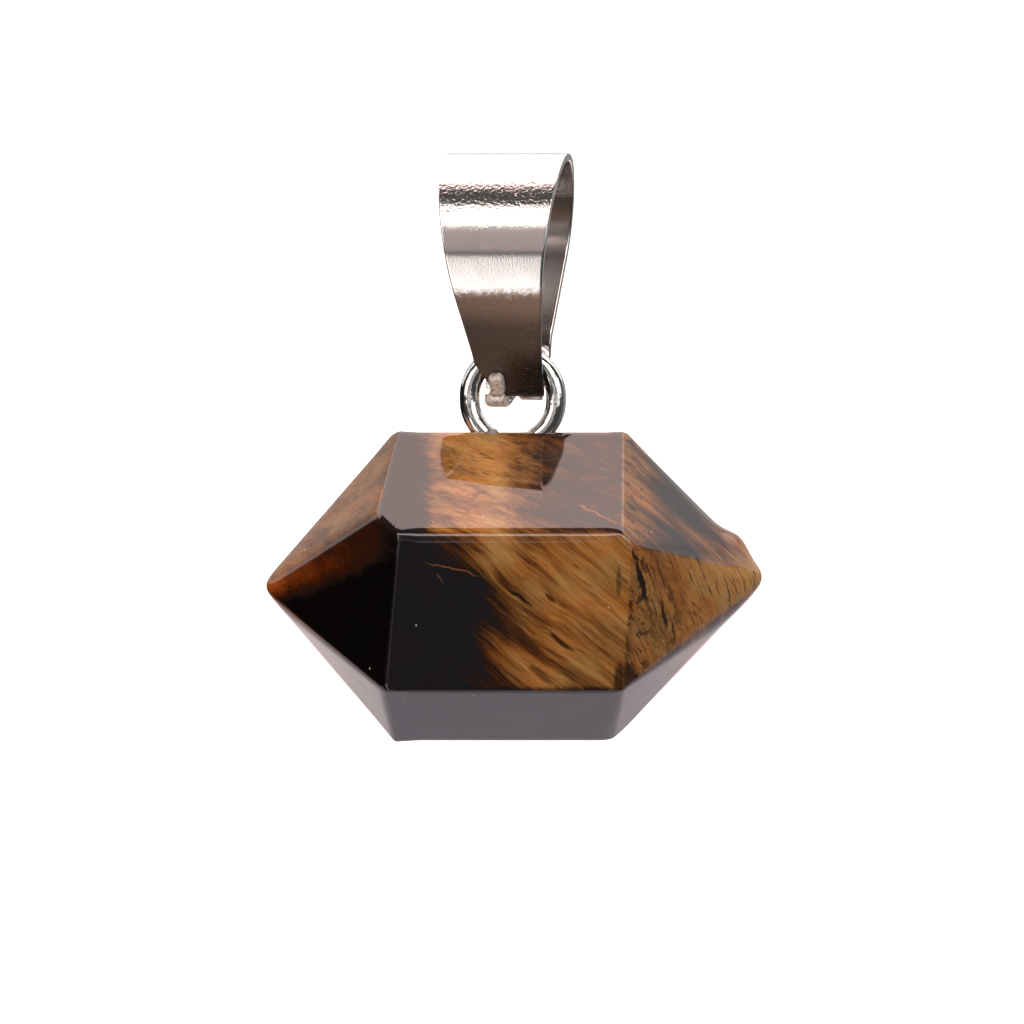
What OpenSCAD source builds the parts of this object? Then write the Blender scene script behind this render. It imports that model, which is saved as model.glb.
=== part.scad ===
// Tiger eye pendant: a hexagonal double point of polished stone, lying level with a
// ridge on top, on a wire ring that hangs in a folded steel bail.
// +Z is up, +X is along the stone, and the front is at -Y.
// The origin is inside the top of the bail's loop, where a cord carries the pendant.

/* [Stone] */
// Length of the stone from tip to tip
stone_length = 23.1; // [20:0.1:26]
// Distance across the flats of the six-sided body
across_flats = 12.84; // [11:0.02:15]
// Radius that the edges are polished to
edge_r = 0.6; // [0.3:0.1:0.9]
// Radius of the left tip
left_tip_r = 1.1; // [0.6:0.1:1.4]
// Radius of the blunter right tip
right_tip_r = 1.6; // [0.8:0.1:2]
// Height of the left tip over the stone's middle
left_tip_rise = 0.05; // [-0.5:0.05:0.5]
// Height of the right tip over the stone's middle
right_tip_rise = 0.4; // [-0.5:0.05:0.5]
// Roll of the stone that brings its top ridge to the front of the ring
stone_roll = 2.5; // [1:0.1:4]
// Distance that the stone's middle hangs in front of the ring
stone_forward = 0.08; // [0:0.01:0.15]
// How far the front left end facet runs up the upper front facet, as a share of its width
facet_cut = 0.21; // [0.05:0.01:0.4]

/* [Ring] */
// Diameter of the ring's wire
wire_d = 0.94; // [0.8:0.02:1]
// Diameter of the ring along the middle of its wire
ring_d = 4.04; // [3.9:0.02:4.3]
// Extra length of the ring, which is pulled a little oval
ring_stretch = 0.2; // [0.1:0.02:0.3]
// Height from the top of the bail down to the ring's upper centre
ring_drop = 11.46; // [11.44:0.01:11.5]
// Height of the ring's upper centre over the stone's middle
ring_rise = 8.96; // [8.9:0.02:9.02]
// Turn of the ring about the upright line, clockwise from above
ring_yaw = 3; // [0:0.5:5]
// Room for cement between the wire and its groove in the stone
groove_gap = 0.04; // [0.03:0.01:0.1]

/* [Bail] */
// Thickness of the strip
strip_t = 0.36; // [0.3:0.02:0.4]
// Width of the strip over the top of the loop
strip_top_w = 5.86; // [5.6:0.02:6]
// Width of the strip at the top of the pocket
strip_waist_w = 3.3; // [3.2:0.02:3.4]
// Height from the top of the loop down to that width
waist_h = 9; // [8.5:0.1:9.5]
// Width of the strip at its two ends
strip_end_w = 2.92; // [2.8:0.02:3]
// Height from the top of the loop to the end of the front leaf
front_leaf_h = 11.45; // [11.3:0.05:11.6]
// Extra length of the back leaf, which folds in under the front one
back_leaf_extra = 0.33; // [0.25:0.01:0.4]
// Height from the top of the loop down to where the leaves' corners start to be clipped
clip_start_h = 9.4; // [9.2:0.05:9.5]
// Height from the top of the loop down to where the clips end
clip_end_h = 10.85; // [10.7:0.05:10.9]
// Distance from the strip's middle to the start of each clip
clip_start_x = 1.72; // [1.65:0.01:1.8]
// Distance from the strip's middle to the end of the front leaf's clip, on the left
front_clip_x = 0.95; // [0.9:0.05:1.2]
// Distance from the strip's middle to the end of the back leaf's clip, on the right
back_clip_x = 1.25; // [1:0.05:1.3]
// Radius of the small notch in the back leaf's end
notch_r = 0.2; // [0.15:0.01:0.25]
// Distance from the strip's middle to the notch, to the right
notch_x = 0; // [-0.1:0.05:0.2]
// Depth of the loop from front to back
loop_depth = 7.26; // [7:0.02:7.5]
// Radius of the loop's top
crown_r = 3.35; // [3.2:0.05:3.5]
// Angle that the loop's top turns through on each side before it flattens
crown_turn = 46; // [42:1:50]
// Radius of the belly under the widest part of the loop
belly_r = 2.9; // [2.7:0.1:3.1]
// Slope of the leaves from upright
leaf_slope = 30; // [28:1:31]
// Depth from front to back of the pocket that holds the ring's wire
pocket_depth = 2.5; // [2.46:0.02:2.6]
// Radius between each leaf and the pocket
hollow_r = 1.5; // [1:0.1:2]
// Radius of the fold that closes the pocket
close_r = 1.5; // [1.45:0.01:1.55]
// Angle of the fold that closes the pocket
close_turn = 64; // [60:1:66]
// Turn of the bail about the upright line, clockwise from above
bail_yaw = 10.8; // [10:0.2:12]
// Lean of the bail's top to the left
bail_roll = 1.2; // [0:0.1:2]
// Lean of the bail's top to the front
bail_pitch = 4.8; // [0:0.1:6]

/* [Closing tab] */
// Width of the tab where it folds forwards under the front leaf
tab_fold_w = 0.89; // [0.7:0.01:1]
// Width of the tab's upright tip
tab_tip_w = 0.7; // [0.5:0.01:0.8]
// Distance from the middle of the strip to the middle of the fold
tab_fold_x = 0.83; // [0.7:0.01:0.9]
// Distance from the middle of the strip to the middle of the tip
tab_tip_x = 0.49; // [0.45:0.01:0.7]
// Angle of the fold where the tab narrows to its tip
tab_shoulder = 34; // [20:1:45]
// Gap between the tab and the front leaf that it is clinched over
tab_gap = 0.04; // [0.03:0.01:0.08]
// Angle of the back leaf's fold over which the tab's root leaves it
tab_root_turn = 12; // [10:1:14]

/* [Hidden] */

// Steps that a quarter turn of a fold is drawn in
fold_steps = 10;
// Sides of the round wire, of the ring's bend, and of the stone's edges and tips
wire_sides = 32;
bend_sides = 96;
edge_sides = 28;
tip_sides = 48;
// A reach well past any piece, for cutting shapes
far = 20;
wire_r = wire_d / 2;

// The bail leans about the top of the ring, whose place is such that the highest point
// inside the leaning loop is at the origin
lean_drop = ring_drop - ring_d / 2;
lean_arm = lean_drop - crown_r;
lean_z = strip_t - crown_r - lean_arm * cos(bail_pitch);
ring_y = lean_arm * sin(bail_pitch);
ring_z = lean_z - ring_d / 2;
stone_z = ring_z - ring_rise;

// Half depths and folds of the bail, outside, measured down from its top
half_depth = loop_depth / 2;
pocket_half = pocket_depth / 2;
side_r = (half_depth - crown_r * sin(crown_turn)) / (1 - sin(crown_turn));
side_b = half_depth - side_r;
side_z = -crown_r - (side_r - crown_r) * cos(crown_turn);
belly_b = half_depth - belly_r;
belly_end_b = belly_b + belly_r * cos(leaf_slope);
belly_end_z = side_z - belly_r * sin(leaf_slope);
hollow_b = pocket_half + hollow_r;
hollow_start_b = hollow_b - hollow_r * cos(leaf_slope);
hollow_start_z = belly_end_z - (belly_end_b - hollow_start_b) / tan(leaf_slope);
hollow_z = hollow_start_z - hollow_r * sin(leaf_slope);
close_b = pocket_half - close_r;
front_close_z = -front_leaf_h + close_r * sin(close_turn);
back_close_z = front_close_z - back_leaf_extra;

// Points of an arc about a centre, from one angle to another
function arc(centre, r, from, to) =
    let (steps = max(2, ceil(abs(to - from) / 90 * fold_steps)))
    [for (i = [0 : steps])
        let (a = from + (to - from) * i / steps)
        centre + r * [cos(a), sin(a)]];

// One side of the loop from its top to the end of a leaf, set in from the outside by inset
function side_line(inset, close_z) = concat(
    arc([0, -crown_r], crown_r - inset, 90, 90 - crown_turn),
    arc([side_b, side_z], side_r - inset, 90 - crown_turn, 0),
    arc([belly_b, side_z], belly_r - inset, 0, -leaf_slope),
    arc([hollow_b, hollow_z], hollow_r + inset, 180 - leaf_slope, 180),
    arc([close_b, close_z], close_r - inset, 0, -close_turn));

function mirrored(points) = [for (p = points) [-p[0], p[1]]];
function reversed(list) = [for (i = [len(list) - 1 : -1 : 0]) list[i]];
// A list without the points that repeat the one before
function no_repeats(list) = [for (i = [0 : len(list) - 1])
    if (i == 0 || norm(list[i] - list[i - 1]) > 0.001) list[i]];

// The folded strip seen from its side: depth across, height up, the top at zero
function strip_section() = no_repeats(concat(
    reversed(side_line(0, back_close_z)),
    mirrored(side_line(0, front_close_z)),
    mirrored(reversed(side_line(strip_t, front_close_z))),
    side_line(strip_t, back_close_z)));

// The tab seen from its side: it leaves the end of the back leaf, passes under the front
// leaf and comes up over it, concentric with the front leaf's own fold
tab_r = close_r + tab_gap;
// The wide fold starts under the middle of the root
tab_start = 180 + close_turn + tab_root_turn / 2;
// Angle that the tab's narrow tip laps into its wide fold
tab_lap = 4;
// Angle inside the back leaf where the tab's root ends
root_turn = close_turn - tab_root_turn;
function back_fold_point(r) =
    [close_b + r * cos(root_turn), back_close_z - r * sin(root_turn)];
function tab_strip(from, to) = concat(
    arc([-close_b, front_close_z], tab_r + strip_t, from, to),
    arc([-close_b, front_close_z], tab_r, to, from));
function tab_fold_section() = concat(
    tab_strip(tab_start, 180 + tab_shoulder),
    [back_fold_point(close_r - strip_t * 3 / 4), back_fold_point(close_r - strip_t / 4)]);

// Outline of the strip from the front, tapering from the top to the waist and the ends
module strip_outline() {
    right_side = [
        [strip_top_w / 2, strip_t], [strip_top_w / 2, 0], [strip_waist_w / 2, -waist_h],
        [strip_end_w / 2, -front_leaf_h], [strip_end_w / 2, -far]];
    polygon(concat(right_side, reversed(mirrored(right_side))));
}

// Corner that is clipped off the left of a leaf's end, seen from outside the leaf
module clipped_corner(end_x) {
    rotate([90, 0, 0])
        linear_extrude(far)
            polygon([
                [-clip_start_x, -clip_start_h], [-end_x, -clip_end_h], [-end_x, -far],
                [-far, -far], [-far, -clip_start_h]]);
}

// Small notch beside the tab in the back leaf's end
module end_notch() {
    translate([notch_x, 0, -front_leaf_h - back_leaf_extra])
        rotate([-90, 0, 0])
            cylinder(r = notch_r, h = pocket_depth, $fn = wire_sides);
}

// A section in the plane of depth and height, made into a slab of the given width
module slab(width, middle = 0) {
    translate([middle - width / 2, 0, 0])
        rotate([90, 0, 90])
            linear_extrude(width)
                children();
}

module closing_tab() {
    slab(tab_fold_w, -tab_fold_x)
        polygon(tab_fold_section());
    slab(tab_tip_w, -tab_tip_x)
        polygon(tab_strip(180 + tab_shoulder + tab_lap, 180));
}

module bail_upright() {
    difference() {
        intersection() {
            slab(far)
                polygon(strip_section());
            translate([0, far / 2, 0])
                rotate([90, 0, 0])
                    linear_extrude(far)
                        strip_outline();
        }
        clipped_corner(front_clip_x);
        rotate([0, 0, 180])
            clipped_corner(back_clip_x);
        end_notch();
    }
    closing_tab();
}

module bail() {
    color([0.78, 0.76, 0.74])
        translate([0, ring_y, lean_z])
            rotate([bail_pitch, -bail_roll, -bail_yaw])
                translate([0, 0, lean_drop])
                    bail_upright();
}

// A round bar of radius r bent into the ring's oval, where the ring is: a half circle
// above, another below, and a short straight between them on each side
module ring_of(r) {
    translate([0, ring_y, ring_z])
        rotate([90, 0, -ring_yaw]) {
            half_ring(r);
            translate([0, -ring_stretch, 0])
                rotate([0, 0, 180])
                    half_ring(r);
            for (side = [-1, 1])
                translate([side * ring_d / 2, 0, 0])
                    rotate([90, 0, 0])
                        cylinder(r = r, h = ring_stretch, $fn = wire_sides);
        }
}

module half_ring(r) {
    rotate_extrude(angle = 180, $fn = bend_sides)
        translate([ring_d / 2, 0])
            circle(r = r, $fn = wire_sides);
}

module ring() {
    color("silver")
        ring_of(wire_r);
}

// The stone's rounding centres. Each long edge: its angle up from the front, and how
// far along X it runs to the left and to the right
ANGLE = 0;
LEFT = 1;
RIGHT = 2;
long_edges = [
    [90, -5.36, 4.92],
    [30, -4.93, 5.10],
    [-30, -5.67, 4.92],
    [-90, -5.26, 4.54],
    [-150, -5.40, 4.85],
    [150, -5.25, 5.05]];
corner_r = (across_flats / 2 - edge_r) / cos(30);
function edge_end(edge, side) =
    [edge[side], -corner_r * cos(edge[ANGLE]), corner_r * sin(edge[ANGLE])];
left_tip = [-stone_length / 2 + left_tip_r, 0, left_tip_rise];
right_tip = [stone_length / 2 - right_tip_r, 0, right_tip_rise];

// The point over (y, z) on the plane through three points
function on_plane(y, z, p, q, r) =
    let (n = cross(q - p, r - p))
    [p[0] - (n[1] * (y - p[1]) + n[2] * (z - p[2])) / n[0], y, z];

// Where the front left end facet cuts into the upper front facet
ridge_left = edge_end(long_edges[0], LEFT);
upper_front_left = edge_end(long_edges[1], LEFT);
lower_front_left = edge_end(long_edges[2], LEFT);
cut_line = upper_front_left + facet_cut * (ridge_left - upper_front_left);
cut_point = on_plane(cut_line[1], cut_line[2], left_tip, upper_front_left, lower_front_left);

module stone() {
    color([0.45, 0.27, 0.08])
        difference() {
            translate([0, ring_y - stone_forward, stone_z])
                rotate([stone_roll, 0, 0])
                    hull() {
                        for (edge = long_edges, side = [LEFT, RIGHT])
                            translate(edge_end(edge, side))
                                sphere(r = edge_r, $fn = edge_sides);
                        translate(cut_point)
                            sphere(r = edge_r, $fn = edge_sides);
                        translate(left_tip)
                            sphere(r = left_tip_r, $fn = tip_sides);
                        translate(right_tip)
                            sphere(r = right_tip_r, $fn = tip_sides);
                    }
            ring_of(wire_r + groove_gap);
        }
}

bail();
ring();
stone();
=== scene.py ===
"""Looks of a tiger eye pendant: a polished double point on a wire ring in a folded steel bail.

Sizes in the classes are in millimetres and become metres where a mesh is made.
"""

import logging
import math
from dataclasses import dataclass
from enum import Enum
from functools import reduce
from typing import Callable, ClassVar, Sequence

import bpy
import numpy as np
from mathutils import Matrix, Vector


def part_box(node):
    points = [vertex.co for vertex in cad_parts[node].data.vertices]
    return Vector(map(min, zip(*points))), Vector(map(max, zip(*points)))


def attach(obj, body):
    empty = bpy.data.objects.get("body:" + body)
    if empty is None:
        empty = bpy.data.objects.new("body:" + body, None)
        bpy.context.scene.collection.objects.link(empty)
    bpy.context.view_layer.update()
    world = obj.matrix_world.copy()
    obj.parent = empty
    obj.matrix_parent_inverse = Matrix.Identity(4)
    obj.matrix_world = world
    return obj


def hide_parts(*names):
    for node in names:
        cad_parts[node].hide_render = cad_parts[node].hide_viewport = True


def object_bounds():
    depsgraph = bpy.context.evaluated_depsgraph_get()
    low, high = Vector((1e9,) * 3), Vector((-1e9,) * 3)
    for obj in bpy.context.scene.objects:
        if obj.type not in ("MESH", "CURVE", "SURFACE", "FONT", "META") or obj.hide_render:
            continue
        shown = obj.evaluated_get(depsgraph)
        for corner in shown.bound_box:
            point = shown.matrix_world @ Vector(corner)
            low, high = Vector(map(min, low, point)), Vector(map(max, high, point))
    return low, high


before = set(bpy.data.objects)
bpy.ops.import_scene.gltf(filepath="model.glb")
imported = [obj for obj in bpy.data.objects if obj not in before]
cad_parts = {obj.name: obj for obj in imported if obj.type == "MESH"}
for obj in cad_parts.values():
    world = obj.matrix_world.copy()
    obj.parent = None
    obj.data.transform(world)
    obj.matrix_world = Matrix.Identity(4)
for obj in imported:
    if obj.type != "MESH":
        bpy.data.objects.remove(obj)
CAD_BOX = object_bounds()

MM = 0.001
INTEGRAL_STEPS = 4000
ARC_POINTS = 80
log = logging.getLogger("pendant")

Vec = tuple[float, float, float]
Span = tuple[float, float]
Socket = bpy.types.NodeSocket


class Ends(Enum):
    """How the first and the last row of a skin are closed."""

    POINTS = "each end row is drawn together in one point"
    LOOP = "the last row joins the first"
    SEAMS = "each end row is a flat loop whose two halves are sewn together"


class Axis(Enum):
    """Axis that a turn goes round."""

    X = 0
    Y = 1
    Z = 2


def turn(axis: Axis, degrees: float) -> np.ndarray:
    """Matrix of a turn about one axis, counterclockwise seen from its tip.

    Args:
        axis: the axis of the turn.
        degrees: the angle.

    Returns:
        A 3 by 3 rotation matrix.
    """
    c, s = math.cos(math.radians(degrees)), math.sin(math.radians(degrees))
    a, b = [(1, 2), (2, 0), (0, 1)][axis.value]
    matrix = np.eye(3)
    matrix[a, a] = matrix[b, b] = c
    matrix[a, b], matrix[b, a] = -s, s
    return matrix


def smooth_step(low: float, high: float, value: np.ndarray) -> np.ndarray:
    """Soft step: 0 up to low, 1 from high on, and 3t^2 - 2t^3 between, t being the share of the way.

    Args:
        low: where the step starts; it may lie above high for a falling step.
        high: where it ends.
        value: the numbers that are stepped.

    Returns:
        An array like value, from 0 to 1.
    """
    t = np.clip((value - low) / (high - low), 0, 1)
    return t * t * (3 - 2 * t)


def crowded(length: float, count: int, places: Sequence[float], width: float, gain: float) -> np.ndarray:
    """Numbers from 0 to length that lie closer together near some places.

    The density is 1 + gain * sum of exp(-(distance to a place / width)^2), and the numbers
    are where its running integral passes equal shares.

    Args:
        length: the last number.
        count: how many numbers.
        places: where they crowd.
        width: how wide each crowd is.
        gain: how much denser it is there.

    Returns:
        An increasing array of count numbers.
    """
    fine = np.linspace(0, length, INTEGRAL_STEPS)
    density = 1 + gain * sum(np.exp(-(((fine - place) / width) ** 2)) for place in places)
    total = np.concatenate([[0], np.cumsum((density[1:] + density[:-1]) / 2 * np.diff(fine))])
    return np.interp(np.linspace(0, total[-1], count), total, fine)


def skin(name: str, rows: np.ndarray, ends: Ends, strip_uv: np.ndarray | None = None) -> bpy.types.Object:
    """A closed smooth mesh through a grid of points whose columns go round.

    Args:
        name: name of the new object.
        rows: points in millimetres, indexed by row, column and coordinate.
        ends: how the end rows are closed.
        strip_uv: a pair of UV values for each point, or None for no UV map.

    Returns:
        The object, linked to the scene.
    """
    n_rows, n_cols = rows.shape[:2]
    index = np.arange(n_rows * n_cols).reshape(n_rows, n_cols)
    below = index if ends is Ends.LOOP else index[:-1]
    above = np.roll(index, -1, axis=0) if ends is Ends.LOOP else index[1:]
    quads = np.stack([below, np.roll(below, -1, 1), np.roll(above, -1, 1), above], -1).reshape(-1, 4)
    points = rows.reshape(-1, 3)
    faces = quads.tolist()
    if ends is Ends.POINTS:
        points = np.vstack([points, rows[0].mean(0), rows[-1].mean(0)])
        first, last = len(points) - 2, len(points) - 1
        faces += [[first, b, a] for a, b in zip(index[0], np.roll(index[0], -1))]
        faces += [[last, a, b] for a, b in zip(index[-1], np.roll(index[-1], -1))]
    if ends is Ends.SEAMS:
        half = n_cols // 2
        for row, flip in ((index[0], 1), (index[-1], -1)):
            caps = [[row[0], row[n_cols - 1], row[1]], [row[half], row[half - 1], row[half + 1]]]
            caps += [[row[i], row[n_cols - i], row[n_cols - i - 1], row[i + 1]] for i in range(1, half - 1)]
            faces += [cap[::flip] for cap in caps]
    mesh = bpy.data.meshes.new(name)
    mesh.from_pydata((points * MM).tolist(), [], faces)
    mesh.update()
    if signed_volume(mesh) < 0:
        mesh.flip_normals()
    mesh.polygons.foreach_set("use_smooth", np.ones(len(mesh.polygons), bool))
    if strip_uv is not None:
        loops = np.empty(len(mesh.loops), np.int32)
        mesh.loops.foreach_get("vertex_index", loops)
        layer = mesh.uv_layers.new(name="strip")
        layer.data.foreach_set("uv", strip_uv.reshape(-1, 2)[loops].astype(np.float32).ravel())
    piece = bpy.data.objects.new(name, mesh)
    bpy.context.scene.collection.objects.link(piece)
    return piece


def signed_volume(mesh: bpy.types.Mesh) -> float:
    """Volume in a closed mesh, the sum of a . (b x c) / 6 over its triangles; negative if inside out."""
    mesh.calc_loop_triangles()
    places = np.empty(len(mesh.vertices) * 3)
    corners = np.empty(len(mesh.loop_triangles) * 3, np.int32)
    mesh.vertices.foreach_get("co", places)
    mesh.loop_triangles.foreach_get("vertices", corners)
    a, b, c = places.reshape(-1, 3)[corners.reshape(-1, 3)].transpose(1, 0, 2)
    return float(np.einsum("ij,ij->", a, np.cross(b, c)) / 6)


def math_method(operation: str, reflected: bool = False) -> Callable[..., "Signal"]:
    """A method of Signal that adds one Math node.

    Args:
        operation: Blender's name of what the node does.
        reflected: True where the other value comes first.

    Returns:
        The method, which takes the other value, if any, and returns the node's output.
    """
    def method(self: "Signal", *others: "Signal | float") -> "Signal":
        """Adds the node."""
        values = (*others, self) if reflected else (self, *others)
        return self.nodes.signal("ShaderNodeMath", {"operation": operation}, dict(enumerate(values)))
    return method


class Signal:
    """A number socket in a node tree; every operator on it adds a Math node."""

    def __init__(self, nodes: "Nodes", socket: Socket) -> None:
        """Keeps the tree and the socket."""
        self.nodes = nodes
        self.socket = socket

    __add__, __radd__ = math_method("ADD"), math_method("ADD", True)
    __sub__, __rsub__ = math_method("SUBTRACT"), math_method("SUBTRACT", True)
    __mul__, __rmul__ = math_method("MULTIPLY"), math_method("MULTIPLY", True)
    __abs__, arcsine = math_method("ABSOLUTE"), math_method("ARCSINE")
    most = math_method("MAXIMUM")

    def step(self, low: float, high: float) -> "Signal":
        """Soft step from 0 at low to 1 at high; it falls where low is above high.

        Args:
            low: value at which the result is 0.
            high: value at which the result is 1.

        Returns:
            The stepped signal.
        """
        inputs = {"Value": self, "From Min": low, "From Max": high}
        if low > high:
            inputs.update({"From Min": high, "From Max": low, "To Min": 1.0, "To Max": 0.0})
        settings = {"interpolation_type": "SMOOTHSTEP", "clamp": True}
        return self.nodes.signal("ShaderNodeMapRange", settings, inputs)


@dataclass(frozen=True)
class Pattern:
    """Fractal noise stretched along three directions.

    turns holds its turns for each millimetre along them. On a surface with only two directions
    the third number is a fixed place, which tells one pattern from another.
    """

    turns: Vec
    detail: float = 2.0
    roughness: float = 0.5


class Nodes:
    """A node tree that is filled by calls."""

    def __init__(self, tree: bpy.types.NodeTree) -> None:
        """Empties the tree."""
        self.tree = tree
        tree.nodes.clear()

    def add(self, kind: str, settings: dict | None = None, inputs: dict | None = None) -> bpy.types.Node:
        """Adds one node.

        Args:
            kind: Blender's name of the node type.
            settings: its properties, set first; "stops" gives a colour ramp's (position, colour) pairs.
            inputs: for its sockets, by name or number, a value, a Signal or a socket to link.

        Returns:
            The node.
        """
        node = self.tree.nodes.new(kind)
        for key, value in (settings or {}).items():
            if key == "stops":
                ramp = node.color_ramp
                while len(ramp.elements) < len(value):
                    ramp.elements.new(0.5)
                for element, (position, colour) in zip(ramp.elements, value):
                    element.position = position
                    element.color = (*colour, 1)
            else:
                setattr(node, key, value)
        for key, value in (inputs or {}).items():
            if isinstance(value, Signal):
                value = value.socket
            if isinstance(value, Socket):
                self.tree.links.new(value, node.inputs[key])
            else:
                node.inputs[key].default_value = value
        return node

    def signal(self, kind: str, settings: dict | None = None, inputs: dict | None = None,
               output: str | int = 0) -> Signal:
        """Adds one node and takes one of its outputs as a number.

        Args:
            kind: Blender's name of the node type.
            settings: its properties.
            inputs: values or links of its sockets.
            output: name or number of the output.

        Returns:
            The output as a Signal.
        """
        return Signal(self, self.add(kind, settings, inputs).outputs[output])

    def vector_math(self, operation: str, inputs: dict) -> Socket:
        """Vector that one Vector Math node gives."""
        return self.add("ShaderNodeVectorMath", {"operation": operation}, inputs).outputs[0]

    def millimetres(self) -> Socket:
        """The point's Object coordinates in millimetres."""
        place = self.add("ShaderNodeTexCoord").outputs["Object"]
        return self.vector_math("SCALE", {0: place, "Scale": 1 / MM})

    def along(self, vector: Socket, direction: Sequence[float]) -> Signal:
        """How far a vector reaches along a direction."""
        return self.signal("ShaderNodeVectorMath", {"operation": "DOT_PRODUCT"},
                           {0: vector, 1: tuple(direction)}, "Value")

    def vector(self, x: Signal | float, y: Signal | float, z: Signal | float) -> Socket:
        """A vector of three numbers."""
        return self.add("ShaderNodeCombineXYZ", None, {0: x, 1: y, 2: z}).outputs[0]

    def noise(self, place: Socket, scale: float = 1.0, detail: float = 2.0,
              roughness: float = 0.5) -> Signal:
        """Fractal noise from 0 to 1 at a place.

        Args:
            place: vector of the place.
            scale: turns of the noise for each unit.
            detail: octaves added.
            roughness: weight of each finer octave.

        Returns:
            The noise.
        """
        inputs = {"Vector": place, "Scale": scale, "Detail": detail, "Roughness": roughness}
        return self.signal("ShaderNodeTexNoise", {"noise_dimensions": "3D"}, inputs)

    def pattern(self, pattern: Pattern, first: Signal, second: Signal,
                third: Signal | float = 1.0) -> Signal:
        """Stretched noise at a place.

        Args:
            pattern: the noise.
            first: distance along its first direction, in millimetres.
            second: distance along its second direction.
            third: distance along its third direction, or 1 where that is a fixed place.

        Returns:
            The noise, from 0 to 1.
        """
        turned = [distance * turns for distance, turns in zip((first, second, third), pattern.turns)]
        return self.noise(self.vector(*turned), 1.0, pattern.detail, pattern.roughness)

    def spots(self, place: Socket, scale: float) -> Signal:
        """Distance from a place to the nearest of scattered points, scale of them to a unit."""
        inputs = {"Vector": place, "Scale": scale}
        return self.signal("ShaderNodeTexVoronoi", {"feature": "F1"}, inputs, "Distance")

    def attribute(self, name: str) -> Signal:
        """A number stored on the mesh."""
        return self.signal("ShaderNodeAttribute", {"attribute_name": name}, None, "Fac")

    def mix(self, share: Signal | float, first: Vec | Socket,
            second: Vec | Socket, blend: str = "MIX") -> Socket:
        """Colour between two colours.

        Args:
            share: 0 gives the first, 1 the second.
            first: colour or colour socket.
            second: colour or colour socket.
            blend: Blender's name of the way of mixing.

        Returns:
            The mixed colour's socket.
        """
        sides = [(*c, 1) if isinstance(c, tuple) else c for c in (first, second)]
        settings = {"data_type": "RGBA", "blend_type": blend, "clamp_factor": True}
        return self.add("ShaderNodeMix", settings, {0: share, 6: sides[0], 7: sides[1]}).outputs[2]

    def ramp(self, value: Signal, stops: Sequence[tuple[float, Vec]]) -> Socket:
        """Colour that a value has on a scale of colour stops."""
        return self.add("ShaderNodeValToRGB", {"stops": stops}, {0: value}).outputs[0]

    def bump(self, height: Signal, depth: float, under: Socket | None = None) -> Socket:
        """Normal of a surface with a relief.

        Args:
            height: relief from 0 to 1.
            depth: height in millimetres that 1 stands for.
            under: normal that the relief is laid on, or None for the bare surface.

        Returns:
            The normal's socket.
        """
        inputs = {"Height": height, "Distance": depth * MM, "Strength": 1.0}
        if under is not None:
            inputs["Normal"] = under
        return self.add("ShaderNodeBump", None, inputs).outputs[0]


def times(colour: Vec, share: float) -> Vec:
    """A colour with each of its parts multiplied."""
    return tuple(share * part for part in colour)


class Finish:
    """Look of a surface: the name of its material, and the inputs of its Principled shader."""

    material_name: ClassVar[str]

    def surface(self, nodes: Nodes) -> dict:
        """Values or links of the shader's sockets."""
        raise NotImplementedError

    def material(self) -> bpy.types.Material:
        """Makes the material."""
        material = bpy.data.materials.new(self.material_name)
        material.use_nodes = True
        nodes = Nodes(material.node_tree)
        shader = nodes.add("ShaderNodeBsdfPrincipled", None, self.surface(nodes))
        nodes.add("ShaderNodeOutputMaterial", None, {"Surface": shader.outputs[0]})
        return material


class Facet(Enum):
    """Facets of the stone that carry marks of their own, by the name of the attribute that masks them."""

    FRONT = "front"
    TOP = "top"
    RIGHT_END = "right_end"
    LEFT_END = "left_end"


@dataclass(frozen=True)
class Mark:
    """A spindle on a facet: its place from the stone's middle, half length and half width in mm, fall
    to the right in degrees, and strength.
    """

    facet: Facet
    x: float
    z: float
    length: float
    width: float
    fall: float
    strength: float


DARK_MARKS = (
    Mark(Facet.FRONT, 0.35, 0.40, 0.95, 0.11, 36, 0.95),
    Mark(Facet.FRONT, 1.72, 0.36, 0.42, 0.13, 40, 0.80),
    Mark(Facet.FRONT, 2.25, -1.70, 0.90, 0.13, 38, 0.90),
    Mark(Facet.FRONT, 1.30, -3.20, 0.85, 0.26, 42, 0.60),
    Mark(Facet.FRONT, -0.35, -0.35, 1.20, 0.20, 38, 0.40),
    Mark(Facet.FRONT, 0.55, -1.35, 1.30, 0.16, 38, 0.45),
    Mark(Facet.FRONT, 3.10, 1.25, 0.80, 0.08, 38, 0.35),
    Mark(Facet.FRONT, 4.95, -3.60, 0.35, 1.20, 0, 0.80),
    Mark(Facet.FRONT, 4.90, 1.10, 0.16, 0.90, 0, 0.55),
    Mark(Facet.RIGHT_END, 5.95, 1.10, 1.50, 0.16, 78, 1.00),
    Mark(Facet.RIGHT_END, 5.60, 2.40, 0.60, 0.12, 60, 0.90),
    Mark(Facet.RIGHT_END, 5.45, -3.50, 0.90, 0.45, 80, 0.85),
    Mark(Facet.RIGHT_END, 7.00, -0.60, 0.90, 0.11, 82, 0.90),
    Mark(Facet.RIGHT_END, 7.45, -1.40, 0.50, 0.10, 74, 0.80),
    Mark(Facet.TOP, -1.60, 5.10, 0.80, 0.14, 24, 0.50),
)
ORANGE_LINES = (
    Mark(Facet.FRONT, -2.80, 1.72, 1.60, 0.045, 14, 0.55),
    Mark(Facet.FRONT, -3.35, 1.30, 0.35, 0.035, 60, 0.40),
    Mark(Facet.TOP, 3.90, 4.15, 1.30, 0.040, 22, 0.80),
)


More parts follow.
